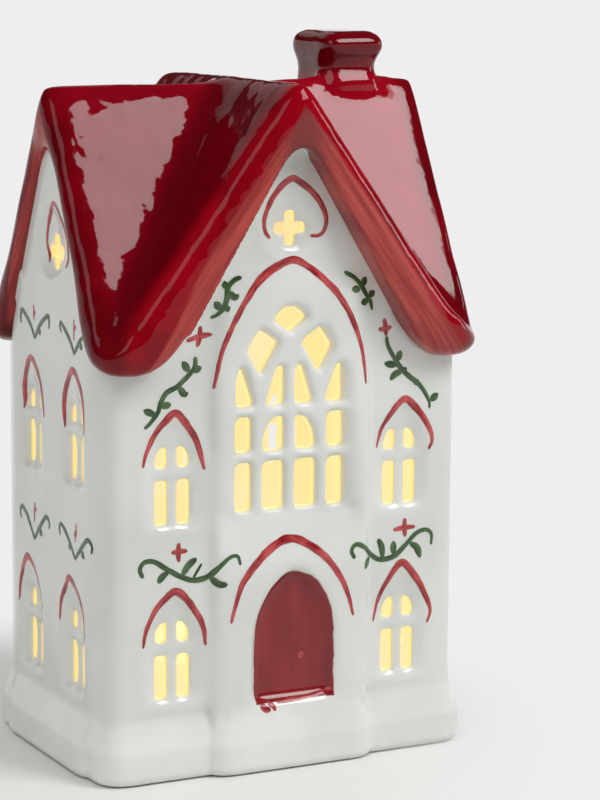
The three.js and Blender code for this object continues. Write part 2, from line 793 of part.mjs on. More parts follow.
// A pan-head screw whose head points down at z = 0, with a cross recess in it.
function screw(headRadius, headHeight, shaftRadius, length) {
  const body = solidOf(
    turned(
      [
        [0, 0],
        [headRadius - headHeight / 3, 0],
        [headRadius, headHeight / 2],
        [headRadius, headHeight],
        [shaftRadius, headHeight],
        [shaftRadius, headHeight + length - shaftRadius],
        [0, headHeight + length],
      ],
      20,
    ),
  );
  const slotDepth = headHeight / 2;
  const long = solidOf(block(headRadius * 0.6, headRadius * 0.14, -1, slotDepth));
  const across = solidOf(block(headRadius * 0.14, headRadius * 0.6, -1, slotDepth));
  return geometryOf(body.subtract(long).subtract(across));
}

function ledBoard() {
  let board = solidOf(post(moduleBore - boardMargin, boardHeight, boardTop, 0, 0, 48));
  for (const [x, y] of columnPlaces) {
    board = board.subtract(solidOf(post(boardScrewShaftRadius + slip, 0, boardTop + 1, x, y)));
  }
  return board;
}

// A 5 mm lamp with its flange at z = 0 and a round nose.
function lamp() {
  const profile = [
    [0, 0],
    [lampRadius + 0.4, 0],
    [lampRadius + 0.4, 1],
    [lampRadius, 1],
    [lampRadius, lampHeight - lampRadius],
  ];
  for (let step = 1; step <= 4; step += 1) {
    const angle = (step / 4) * RIGHT_ANGLE;
    const radius = step === 4 ? 0 : lampRadius * Math.cos(angle);
    profile.push([radius, lampHeight - lampRadius + lampRadius * Math.sin(angle)]);
  }
  return turned(profile, 16);
}

// The lid of the housing: a flat ring that snaps in by a spigot, open in the middle for the lamps.
function housingTop() {
  const spigot = moduleBore - slip;
  return turned([
    [capOpening, housingRim],
    [spigot - moduleWall, housingRim],
    [spigot - moduleWall, housingRim - capSpigot],
    [spigot, housingRim - capSpigot],
    [spigot, housingRim],
    [moduleRadius, housingRim],
    [moduleRadius, capTop],
    [capOpening, capTop],
    [capOpening, housingRim],
  ]);
}

// The frosted dome over the lamps, with a flange that sits on the lid.
function diffuser() {
  const steps = 7;
  const innerRadius = diffuserRadius - diffuserWall;
  const innerHeight = diffuserHeight - diffuserWall;
  const profile = [];
  for (let step = 0; step <= steps; step += 1) {
    const angle = RIGHT_ANGLE * (1 - step / steps);
    profile.push([step === 0 ? 0 : innerRadius * Math.cos(angle), capTop + innerHeight * Math.sin(angle)]);
  }
  profile.push([diffuserRadius + diffuserFlange, capTop]);
  profile.push([diffuserRadius + diffuserFlange, capTop + diffuserWall]);
  const shoulder = Math.asin(diffuserWall / diffuserHeight);
  for (let step = 0; step <= steps; step += 1) {
    const angle = shoulder + (RIGHT_ANGLE - shoulder) * (step / steps);
    const radius = step === steps ? 0 : diffuserRadius * Math.cos(angle);
    profile.push([radius, capTop + diffuserHeight * Math.sin(angle)]);
  }
  return turned(profile, 32);
}

// The silicone ring: a lip under the ceramic floor and a collar up inside its hole.
function sealRing() {
  const inner = moduleRadius + slip;
  const collar = inner + sealCollar;
  const lip = flangeRadius - 1;
  return turned([
    [inner, plateTop],
    [lip, plateTop],
    [lip, floorUnderside],
    [collar, floorUnderside],
    [collar, floorTop - 0.5],
    [inner, floorTop - 0.5],
    [inner, plateTop],
  ]);
}

// A cell on its side, its positive nub towards +X before it is turned.
function battery() {
  const profile = [
    [0, 0],
    [batteryRadius - 0.4, 0],
    [batteryRadius, 0.4],
    [batteryRadius, batteryLength - batteryNubLength - 0.4],
    [batteryRadius - 0.4, batteryLength - batteryNubLength],
    [batteryNubRadius, batteryLength - batteryNubLength],
    [batteryNubRadius, batteryLength],
    [0, batteryLength],
  ];
  return turned(profile, 24).rotateY(RIGHT_ANGLE);
}

// A contact spring on its plate, as the plain cone that its turns fill, pointing along +X.
function contactSpring() {
  const profile = [
    [0, 0],
    [contactHalfWidth, 0],
    [contactHalfWidth, contactThickness],
    [contactHalfWidth * 0.9, contactThickness],
    [contactHalfWidth * 0.6, springLength],
    [0, springLength],
  ];
  return turned(profile, 16).rotateY(RIGHT_ANGLE);
}

function contactPlate() {
  return new THREE.BoxGeometry(contactThickness, 2 * contactHalfWidth, 2 * contactHalfWidth);
}

// The switch's can, hollow below for the wiper.
function switchBody() {
  const top = plateTop + switchBodyHeight;
  const can = solidOf(block(switchBodyHalfLength, switchBodyHalfWidth, plateTop, top, 0, switchY));
  const hollowX = wiperHalfLength + switchTravel + slip;
  const hollowTop = top - 1.4;
  return can.subtract(solidOf(block(hollowX, knobSize / 2 + slip, 0, hollowTop, 0, switchY)));
}

// The slider: a knob that comes through the slot, with the wiper block on its inner end.
function switchSlider() {
  const wiperFoot = plateTop + slip;
  const wiperTop = wiperFoot + wiperThickness;
  const knob = solidOf(block(knobSize / 2, knobSize / 2, moduleBottom - knobProud, wiperTop, 0, switchY));
  return knob.add(solidOf(block(wiperHalfLength, knobSize / 2, wiperFoot, wiperTop, 0, switchY)));
}

// A short insulated lead through the given points.
function lead(points) {
  const path = new THREE.CatmullRomCurve3(points.map(([x, y, z]) => new THREE.Vector3(x, y, z)));
  const section = new THREE.Shape();
  section.absarc(0, 0, leadRadius, 0, ROUND);
  return new THREE.ExtrudeGeometry(section, { extrudePath: path, steps: 9, curveSegments: 5 });
}

const finishes = {
  whiteGlaze: [0xdfe0dc, 0.12, 0],
  redGlaze: [0x8c0014, 0.1, 0],
  whitePlastic: [0xe9e7e0, 0.45, 0],
  frosted: [0xfff0cf, 0.5, 0],
  silicone: [0xcfcdc6, 0.7, 0],
  board: [0xe7ebe4, 0.5, 0],
  warmLamp: [0xffd98a, 0.25, 0],
  chip: [0x16171a, 0.4, 0],
  steel: [0xb9bcc0, 0.3, 1],
  cellWrap: [0x3f7f6b, 0.35, 0.2],
  blackPlastic: [0x1b1b1d, 0.45, 0],
  redLead: [0xb3201c, 0.5, 0],
  blackLead: [0x1d1d1f, 0.5, 0],
};

function piece(name, geometry, finish, parent) {
  const [color, roughness, metalness] = finishes[finish];
  const mesh = new THREE.Mesh(geometry, new THREE.MeshStandardMaterial({ color, roughness, metalness }));
  mesh.name = name;
  parent.add(mesh);
  return mesh;
}

const house = new THREE.Group();
house.name = "house";
piece("wall_casting", geometryOf(wallCasting()), "whiteGlaze", house);
piece("roof_casting", geometryOf(roofCasting()), "redGlaze", house);
piece("chimney", geometryOf(chimneyCasting()), "redGlaze", house);

const lampModule = new THREE.Group();
lampModule.name = "lamp_module";
house.add(lampModule);
piece("lamp_housing", geometryOf(lampHousing()), "whitePlastic", lampModule);
piece("housing_top", housingTop(), "whitePlastic", lampModule);
piece("diffuser", diffuser(), "frosted", lampModule);
piece("seal_ring", sealRing(), "silicone", lampModule);
piece("led_board", geometryOf(ledBoard()), "board", lampModule);
const chip = block(chipLength / 2, chipWidth / 2, boardTop, boardTop + chipHeight);
piece("timer_chip", chip, "chip", lampModule);

for (let index = 0; index < 4; index += 1) {
  const angle = (index + 0.5) * RIGHT_ANGLE;
  const led = piece(`led_${index + 1}`, lamp(), "warmLamp", lampModule);
  led.position.set(lampCircle * Math.cos(angle), lampCircle * Math.sin(angle), boardTop);
}
columnPlaces.forEach(([x, y], index) => {
  const head = [boardScrewHeadRadius, boardScrewHeadHeight];
  const geometry = screw(...head, boardScrewShaftRadius, boardScrewLength);
  const fastener = piece(`board_screw_${index + 1}`, geometry, "steel", lampModule);
  fastener.rotation.x = Math.PI;
  fastener.position.set(x, y, boardTop + boardScrewHeadHeight);
});

for (let index = 0; index < 3; index += 1) {
  const y = (index - 1) * batteryPitch;
  const towards = index === 1 ? -1 : 1;
  const turn = towards > 0 ? 0 : Math.PI;
  const end = towards * batteryBayHalfLength;
  const plate = piece(`contact_plate_${index + 1}`, contactPlate(), "steel", lampModule);
  plate.position.set(end - (towards * contactThickness) / 2, y, batteryAxisZ);
  const spring = piece(`contact_spring_${index + 1}`, contactSpring(), "steel", lampModule);
  spring.rotation.z = turn;
  spring.position.set(-end, y, batteryAxisZ);
  const cell = piece(`battery_${index + 1}`, battery(), "cellWrap", lampModule);
  cell.rotation.z = turn;
  cell.position.set(towards * (springLength + slip) - end, y, batteryAxisZ);
}

piece("switch_body", geometryOf(switchBody()), "steel", lampModule);
piece("switch_slider", geometryOf(switchSlider()), "blackPlastic", lampModule);

const leadStart = batteryBayHalfLength + bayWallThickness + slip;
const leadTop = boardHeight - slip;
for (const [name, side, finish] of [
  ["lead_positive", 1, "redLead"],
  ["lead_negative", -1, "blackLead"],
]) {
  const y = side * batteryPitch * 0.8;
  const points = [
    [-leadStart, y, batteryAxisZ],
    [-leadStart - 1, y, batteryAxisZ + 0.3],
    [-leadStart - 2, y, batteryAxisZ + 2],
    [-leadStart - 2.2, y, (batteryAxisZ + leadTop) / 2 + 2],
    [-leadStart - 2.2, y, leadTop],
  ];
  piece(name, lead(points), finish, lampModule);
}
const switchTop = plateTop + switchBodyHeight + slip;
const switchLead = lead([
  [3, switchY, switchTop],
  [3.2, switchY - 0.2, switchTop + 2],
  [4, switchY - 1.2, (switchTop + leadTop) / 2],
  [4.6, switchY - 0.6, leadTop - 2],
  [4.8, switchY - 0.5, leadTop],
]);
piece("lead_switch", switchLead, "blackLead", lampModule);

const cover = new THREE.Group();
cover.name = "cover";
lampModule.add(cover);
piece("battery_cover", geometryOf(batteryCover()), "whitePlastic", cover);
const coverScrew = piece(
  "cover_screw",
  screw(screwHeadRadius, screwHeadHeight, screwShaftRadius, screwLength - 2),
  "steel",
  cover,
);
coverScrew.position.set(screwX, 0, moduleBottom);

export default house;
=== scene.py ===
import math

import bmesh
import bpy
from mathutils import Matrix, Vector, noise
from mathutils.bvhtree import BVHTree


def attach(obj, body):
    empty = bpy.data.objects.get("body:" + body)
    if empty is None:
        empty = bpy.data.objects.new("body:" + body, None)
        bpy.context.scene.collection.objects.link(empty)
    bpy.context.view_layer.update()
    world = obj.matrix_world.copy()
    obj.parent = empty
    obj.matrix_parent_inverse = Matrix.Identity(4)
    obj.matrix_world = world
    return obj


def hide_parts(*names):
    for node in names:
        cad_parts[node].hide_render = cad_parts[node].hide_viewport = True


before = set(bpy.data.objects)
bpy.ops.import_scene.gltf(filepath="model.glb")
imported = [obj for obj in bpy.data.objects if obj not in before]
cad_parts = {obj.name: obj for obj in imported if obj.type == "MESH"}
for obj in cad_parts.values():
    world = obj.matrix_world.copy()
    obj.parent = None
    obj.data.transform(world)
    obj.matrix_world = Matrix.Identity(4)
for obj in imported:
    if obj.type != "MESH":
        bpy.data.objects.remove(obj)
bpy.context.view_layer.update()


# The studio: a white table that sweeps up all round into a low wall. A softbox stands high on the
# right, dimmer ones behind, on the left and low on the right show in the glaze, and wide panels
# overhead, on the left and in front only fill the shadows. The camera has a long lens.
scene = bpy.context.scene
scene.view_settings.view_transform = "Standard"


def into_scene(obj):
    scene.collection.objects.link(obj)
    return obj


lens = bpy.data.cameras.new("camera")
lens.sensor_fit = "HORIZONTAL"
lens.sensor_width = 36
lens.lens = 159.97
lens.clip_start = 0.05
lens.clip_end = 60
camera = into_scene(bpy.data.objects.new("camera", lens))
camera.matrix_world = (
    Matrix.Translation((-0.3932, -0.8024, 0.257))
    @ Matrix.Rotation(math.radians(-27.638), 4, "Z")
    @ Matrix.Rotation(math.radians(81.006), 4, "X")
    @ Matrix.Rotation(math.radians(0.431), 4, "Z")
)
scene.camera = camera


LAMP_AIM = 0.16


def softbox(name, towards, distance, size, watts, mirrored=True):
    """An area lamp that faces the house from a direction."""
    lamp = bpy.data.lights.new(name, "AREA")
    lamp.shape = "RECTANGLE"
    lamp.size, lamp.size_y = size
    lamp.energy = watts
    obj = into_scene(bpy.data.objects.new(name, lamp))
    away = Vector(towards).normalized()
    place = Vector((0, 0, LAMP_AIM)) + away * distance
    obj.matrix_world = Matrix.Translation(place) @ away.to_track_quat("Z", "Y").to_matrix().to_4x4()
    obj.visible_glossy = mirrored
    return obj


softbox("key_softbox", (0.42, -0.59, 0.69), 1.1, (0.5, 0.5), 7.1)
softbox("crown_panel", (0, 0.757, 0.653), 1.6, (1.3, 0.8), 1.5)
softbox("left_softbox", (-0.61, -0.44, 0.634), 1.6, (0.85, 0.85), 4.6)
softbox("right_strip", (0.9, -0.28, 0.28), 1.3, (0.2, 0.4), 1.2)
softbox("overhead_panel", (0, 0.1, 1), 1.9, (3.2, 3.2), 31, mirrored=False)
softbox("left_panel", (-1, 0.0, 0.12), 1.8, (1.6, 1.2), 5.0, mirrored=False)
softbox("front_panel", (0.25, -1, 0.12), 1.7, (2.0, 1.6), 1.8, mirrored=False)

world = bpy.data.worlds.new("studio")
world.use_nodes = True
world.node_tree.nodes["Background"].inputs["Color"].default_value = (0.035, 0.035, 0.035, 1)
world.node_tree.nodes["Background"].inputs["Strength"].default_value = 1
scene.world = world


class Wire:
    """A socket in a material. Arithmetic on wires adds Math nodes, and node() adds any other."""

    def __init__(self, tree, socket=None):
        self.tree = tree
        self.socket = socket

    def node(self, kind, settings, sockets, out=0):
        made = self.tree.nodes.new(kind)
        for name, value in settings.items():
            if name == "stops":
                for stop, (place, color) in zip(made.color_ramp.elements, value):
                    stop.position = place
                    stop.color = color
            else:
                setattr(made, name, value)
        for name, value in sockets.items():
            if isinstance(value, Wire):
                self.tree.links.new(value.socket, made.inputs[name])
            else:
                made.inputs[name].default_value = value
        return Wire(self.tree, made.outputs[out])

    def maths(self, operation, *values):
        return self.node("ShaderNodeMath", {"operation": operation}, dict(enumerate(values)))

    def __add__(self, other):
        return self.maths("ADD", self, other)

    def __sub__(self, other):
        return self.maths("SUBTRACT", self, other)

    def __rsub__(self, other):
        return self.maths("SUBTRACT", other, self)

    def __mul__(self, other):
        return self.maths("MULTIPLY", self, other)

    def __truediv__(self, other):
        return self.maths("DIVIDE", self, other)

    __radd__ = __add__
    __rmul__ = __mul__

    def __abs__(self):
        return self.maths("ABSOLUTE", self)

    def rise(self, start, end):
        """0 up to start, 1 from end on, and a soft step between them."""
        settings = {"interpolation_type": "SMOOTHSTEP"}
        ends = {0: self, 1: start, 2: end, 3: 0.0, 4: 1.0}
        return self.node("ShaderNodeMapRange", settings, ends)

    def blend(self, low, high):
        """A colour from low, where this wire is 0, to high, where it is 1."""
        return self.node("ShaderNodeMix", {"data_type": "RGBA"}, {0: self, 6: low, 7: high}, 2)

    def feed(self, shader, name):
        self.tree.links.new(self.socket, shader.inputs[name])


def finish(name, **sockets):
    """A new material, a wire to build on, and its shader with the plain sockets set."""
    material = bpy.data.materials.new(name)
    material.use_nodes = True
    shader = material.node_tree.nodes["Principled BSDF"]
    for socket, value in sockets.items():
        shader.inputs[socket.replace("_", " ")].default_value = value
    return material, Wire(material.node_tree), shader


def object_place(start):
    """The object coordinates as a vector and as three wires in millimetres."""
    place = start.node("ShaderNodeTexCoord", {}, {}, "Object")
    split = [start.node("ShaderNodeSeparateXYZ", {}, {0: place}, axis) * 1000 for axis in "XYZ"]
    return place, *split


def table_finish():
    """White laminate that fades into the plain white of the backdrop."""
    material, start, shader = finish("white_table", Roughness=0.6)
    place, x, y, z = object_place(start)
    mottle = start.node("ShaderNodeTexNoise", {}, {"Vector": place, "Scale": 30.0, "Detail": 3.0})
    mottle.blend((0.8, 0.8, 0.785, 1), (0.82, 0.82, 0.805, 1)).feed(shader, "Base Color")
    backdrop = {"Color": (0.855, 0.855, 0.855, 1), "Strength": 1.0}
    glow = start.node("ShaderNodeEmission", {}, backdrop)
    rays = start.node("ShaderNodeLightPath", {}, {}, "Is Camera Ray")
    for kind in ("Is Glossy Ray", "Is Transmission Ray"):
        rays = rays.maths("MAXIMUM", rays, start.node("ShaderNodeLightPath", {}, {}, kind))
    aside, behind = x + 60, y - 20
    far = start.maths("SQRT", aside * aside + behind * behind + z * z).rise(95.0, 195.0)
    lit = Wire(start.tree, shader.outputs[0])
    mixed = start.node("ShaderNodeMixShader", {}, {0: rays * far, 1: lit, 2: glow})
    output = material.node_tree.nodes["Material Output"]
    start.tree.links.new(mixed.socket, output.inputs["Surface"])
    return material


sweep = bmesh.new()
profile = [(0.001, 0), (2.2, 0), (2.7, 0.06), (2.95, 0.25), (3.0, 0.75)]
rim = [sweep.verts.new((radius, 0, height)) for radius, height in profile]
edges = [sweep.edges.new(pair) for pair in zip(rim, rim[1:])]
bmesh.ops.spin(
    sweep, geom=rim + edges, axis=(0, 0, 1), angle=2 * math.pi, steps=96, use_merge=True
)
bmesh.ops.remove_doubles(sweep, verts=sweep.verts, dist=0.0015)
bmesh.ops.recalc_face_normals(sweep, faces=sweep.faces)
table_mesh = bpy.data.meshes.new("table")
sweep.to_mesh(table_mesh)
sweep.free()
table_mesh.shade_smooth()
table_mesh.materials.append(table_finish())
table = into_scene(bpy.data.objects.new("table", table_mesh))


# The walls: one slip-cast body of white earthenware, open below and at the top, under a thick
# clear glaze that rounds every edge. Inside it is bare clay with the lamp's light painted on it as a
# warm glow, and the windows are cut through while the clay is soft.
MM = 0.001
UP = Vector((0, 0, 1))
WALL_X, WALL_Y, WALL_ROUND = 64, 44.5, 5.5
PLINTH_TOP = 20
BAY_X, BAY_Y = 29.5, -48.2
WINDOW_X, WINDOW_Y, WINDOW_SPRING, WINDOW_RISE = 23, -45.4, 105, 45
NO_LIGHT = (0.0, 0.0, 0.0, 1)
BARE_CLAY = (0.3, 0.22, 0.12, 1)


def upward(bm, ceiling, reach, lift):
    """Raises the points that lie just under another casting, so that the glaze closes the joint."""
    for vert in bm.verts:
        hit = ceiling.ray_cast(vert.co, UP, reach)
        if hit[0] is not None:
            vert.co.z += lift


def clay_copy(node):
    bm = bmesh.new()
    bm.from_mesh(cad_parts[node].data)
    bmesh.ops.remove_doubles(bm, verts=bm.verts, dist=1e-6)
    return bm


def surface_of(mesh):
    bm = bmesh.new()
    bm.from_mesh(mesh)
    tree = BVHTree.FromBMesh(bm)
    bm.free()
    return tree


def finished_mesh(body):
    """The mesh that the body's modifiers give, with the modifiers taken off."""
    now = bpy.context.evaluated_depsgraph_get()
    mesh = bpy.data.meshes.new_from_object(body.evaluated_get(now))
    body.modifiers.clear()
    return mesh


def glazed(name, bm, grain, passes, triangles, weigh, deep_passes, press):
    """Fires a clay body: remeshed to a grain, pressed to its mould's shape in millimetres, rounded
    in a few passes, then in many where weigh gives a share, and thinned to so many triangles."""
    mesh = bpy.data.meshes.new(name)
    bm.to_mesh(mesh)
    bm.free()
    body = into_scene(bpy.data.objects.new(name, mesh))
    clay = body.modifiers.new("clay", "REMESH")
    clay.mode = "VOXEL"
    clay.voxel_size = grain
    even = finished_mesh(body)
    body.data = even
    for vert in even.vertices:
        vert.co = press(vert.co / MM) * MM
    soften = body.modifiers.new("soften", "SMOOTH")
    soften.factor = 0.5
    soften.iterations = passes
    group = body.vertex_groups.new(name="pooled")
    for vert in even.vertices:
        share = weigh(vert.co)
        if share > 0:
            group.add([vert.index], share, "REPLACE")
    pool = body.modifiers.new("pool", "SMOOTH")
    pool.factor = 0.5
    pool.iterations = deep_passes
    pool.vertex_group = "pooled"
    thin = body.modifiers.new("thin", "DECIMATE")
    thin.ratio = min(1, triangles / (2 * len(even.polygons)))
    fired = finished_mesh(body)
    body.vertex_groups.clear()
    body.data = fired
    for vert in fired.vertices:
        vert.co.z = max(vert.co.z, 0)
    fired.name = name
    fired.shade_smooth()
    return body


def white_glaze():
    """White body under clear glaze: faintly uneven outside, painted lighter on the plinth and darker
    above it as light and shade, and given a painted warm glow within the walls.
    """
    material, start, shader = finish(
        "white_glaze", Roughness=0.13, IOR=1.5, Coat_Roughness=0.03, Emission_Strength=1.0
    )
    place, x, y, z = object_place(start)
    cloud = start.node("ShaderNodeTexNoise", {}, {"Vector": place, "Scale": 26.0, "Detail": 2.0})
    # Painted light and shade: the white is coloured lighter below about 17 to 25 mm, as light
    # bounced from the table onto the plinth, and darker on the walls above, as shade under the
    # eaves.
    thick = (z + (cloud - 0.5) * 8).rise(17.0, 25.0)
    body = thick.blend((0.835, 0.85, 0.825, 1), (0.665, 0.688, 0.648, 1))
    body = cloud.rise(0.3, 0.7).blend(body, (0.735, 0.75, 0.718, 1))
    past_x = start.maths("MAXIMUM", abs(x) - (WALL_X - WALL_ROUND), 0.0)
    past_y = start.maths("MAXIMUM", abs(y) - (WALL_Y - WALL_ROUND), 0.0)
    depth = WALL_ROUND - start.maths("SQRT", past_x * past_x + past_y * past_y)
    back_dish = y.rise(30.0, 31.0) * z.rise(160.0, 161.0)
    within = (depth - back_dish * 1.6).rise(1.1, 2.0) * z.rise(11.3, 12.0)
    bare = within.blend(body, BARE_CLAY)
    # Painted light: the bare clay within the walls glows warm as if lit by the lamp, deeper orange
    # in the panes' reveals and paler in the room.
    inner = depth.rise(3.4, 4.6)
    room_glow = cloud.rise(0.35, 0.65).blend((0.75, 0.61, 0.28, 1), (0.74, 0.64, 0.39, 1))
    light = inner.blend((0.84, 0.62, 0.22, 1), room_glow)
    within.blend(NO_LIGHT, light).feed(shader, "Emission Color")
    door_middle, door_half_width, door_spring, door_rise = 0.8, 14.4, 43, 22.8
    aside = (x - door_middle) / door_half_width
    arch = start.maths("MAXIMUM", z - door_spring, 0.0) / door_rise
    edge = (start.maths("SQRT", aside * aside + arch * arch) - 1) * 15
    ragged = start.node("ShaderNodeTexNoise", {}, {"Vector": place, "Scale": 160.0, "Detail": 3.0})
    edge = edge + (ragged - 0.5) * 1.2
    painted = (1 - edge.rise(-0.25, 0.25)) * z.rise(22.2, 22.6) * (1 - y.rise(-43.5, -43.0))
    upright = (110, 110, 30)
    drawn = start.node("ShaderNodeVectorMath", {"operation": "MULTIPLY"}, {0: place, 1: upright})
    streak = start.node("ShaderNodeTexNoise", {}, {"Vector": drawn, "Scale": 1.0, "Detail": 4.0})
    door = streak.rise(0.3, 0.75).blend((0.2, 0.007, 0.01, 1), (0.28, 0.014, 0.015, 1))
    foot = 1 - (z + (cloud - 0.5) * 0.8).rise(0.25, 0.6)
    foot.blend(painted.blend(bare, door), (0.7, 0.63, 0.52, 1)).feed(shader, "Base Color")
    swell = start.node("ShaderNodeTexNoise", {}, {"Vector": place, "Scale": 70.0, "Detail": 1.0})
    bump = start.node("ShaderNodeBump", {}, {"Strength": 0.25, "Distance": 0.0006, "Height": swell})
    bump.feed(shader, "Normal")
    return material


def outside_share(place):
    """How thickly the glaze lies at a place: full on the gables, none within the cut panes."""
    x, y, z = place / MM
    past_x = max(abs(x) - (WALL_X - WALL_ROUND), 0)
    past_y = max(abs(y) - (WALL_Y - WALL_ROUND), 0)
    outer = max(0, min(1, (Vector((past_x, past_y)).length - 4.1) / 0.8))
    if z < 22:
        return 0 if z < 4 else 0.12 * outer
    if z > 150:
        gap = roof_underside.ray_cast(place - 3 * MM * UP, UP, 8 * MM)[3]
        if gap is not None:
            return outer * max(0, gap / MM - 3) / 5
    if z > 160:
        return outer
    if abs(x) < 20 and 85 < z < 158:
        return 0.22 * outer
    return 0.8 * outer if abs(x) < 60 else outer


def worn_mould(place):
    """Lowers the crisp relief of the solid to what a worn plaster mould gives, in millimetres: the
    small windows' hoods, the sill and slope of the bay, and the dish round the large window."""
    x, y, z = place
    if z < PLINTH_TOP:
        return place
    bay_face = BAY_Y + 1.5 * max(0, min(1, (z - 120) / 20)) + 1.6 * max(0, min(1, (z - 158) / 16))
    if y < -WALL_Y and abs(x) > BAY_X:
        y = -WALL_Y + (y + WALL_Y) * 0.5
    elif abs(x) < 26 and 86 < z < 160 and -48.6 < y < -44.4:
        across, above = x / WINDOW_X, max(0, z - WINDOW_SPRING) / WINDOW_RISE
        outward = max(0, min(1, (math.hypot(across, above) - 0.6) / 0.55))
        y = WINDOW_Y + (bay_face - WINDOW_Y) * outward * outward * (3 - 2 * outward)
    elif y < -WALL_Y and z > 120:
        y = max(y, bay_face)
    elif y < -WALL_Y and abs(x) < 24 and 72 < z < 88:
        y = max(y, BAY_Y + 3.3 * min(1, (z - 72) / 12))
    elif y < BAY_Y:
        y = BAY_Y + (y - BAY_Y) * 0.6
    if abs(x) > 64.5 and z > 160:
        x = math.copysign(64.5 + (abs(x) - 64.5) * 0.3, x)
    elif abs(x) > 65.3:
        x = math.copysign(65.3 + (abs(x) - 65.3) * 0.5, x)
    return Vector((x, y, z))


roof_underside = surface_of(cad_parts["roof_casting"].data)
walls_clay = clay_copy("wall_casting")
upward(walls_clay, roof_underside, reach=0.6 * MM, lift=3.8 * MM)
coarse = 1
walls = glazed(
    "walls", walls_clay, grain=0.62 * MM * coarse, passes=3, triangles=190000,
    weigh=outside_share, deep_passes=200, press=worn_mould,
)
walls.data.materials.append(white_glaze())
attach(walls, "house")
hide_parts("wall_casting")


# The roof and its chimney: one casting with two crossed gables and thick rolled edges, luted on to
# the walls and dipped in deep red glaze, which pools in the valleys and thins on the rolled edges.
PEAK, EAVES = 228.5, 139.5
END_PITCH, SIDE_PITCH = 1.366, 1.895
END_SLANT, SIDE_SLANT = 1.69, 2.14
CHIMNEY_X, CHIMNEY_Y = 44.4, 7.6


def roof_height(x, y):
    """The height of the roof's upper face, in millimetres, over a point of the plan."""
    x, y = abs(x), abs(y)
    long_gable = PEAK - END_PITCH * x if x < 50 else EAVES + 20.7 * (1 - (x - 50) / 19.3) ** 2
    short_gable = PEAK - SIDE_PITCH * y if y < 43 else EAVES + 7.5 * (1 - (y - 43) / 11) ** 2
    return max(long_gable, short_gable)


def rolled_share(place):
    """How round the clay was rolled at a place: most on the upper faces and the eaves' lips."""
    x, y, z = place / MM
    if z > 229 or (z > 219 and abs(x - CHIMNEY_X) < 15 and -10 < y < 23):
        return 0.06
    if abs(x) > 59 or (abs(y) > 46 and z < 146):
        share = max(0.35, min(1, 0.35 + (z - 150) / 24))
    else:
        share = max(0, min(1, (20 - roof_height(x, y) + z) / 7))
    chimney_side = max(0, min(1, (x - 8) / 12)) * (abs(x) * END_PITCH > abs(y) * SIDE_PITCH)
    chimney_side *= max(0, min(1, (45 - abs(y)) / 8))
    return share * (1 - 0.65 * chimney_side)


def hand_formed(place):
    """Leaves the roof's upper faces slightly wavy and waists the chimney's front, in millimetres."""
    x, y, z = place
    outside = max(0, min(1, (z - roof_height(x, y) + 7) / 4))
    wave = (noise.noise_vector(place / 13) * 0.55 + noise.noise_vector(place / 30) * 0.5) * outside
    if z < 219 or abs(x - CHIMNEY_X) > 15 or y > 3:
        return place + wave * (0.6 if x > 10 else 1)
    forward = min(1, (3 - y) / 7)
    neck = math.sin(math.pi * min(1, max(0, (z - 223.4) / 9.6)))
    brow = max(0, (z - 234.5) / 5.5) ** 2
    return Vector((x, y + forward * (2.4 * neck + 1.3 * brow), z)) + wave * 0.5


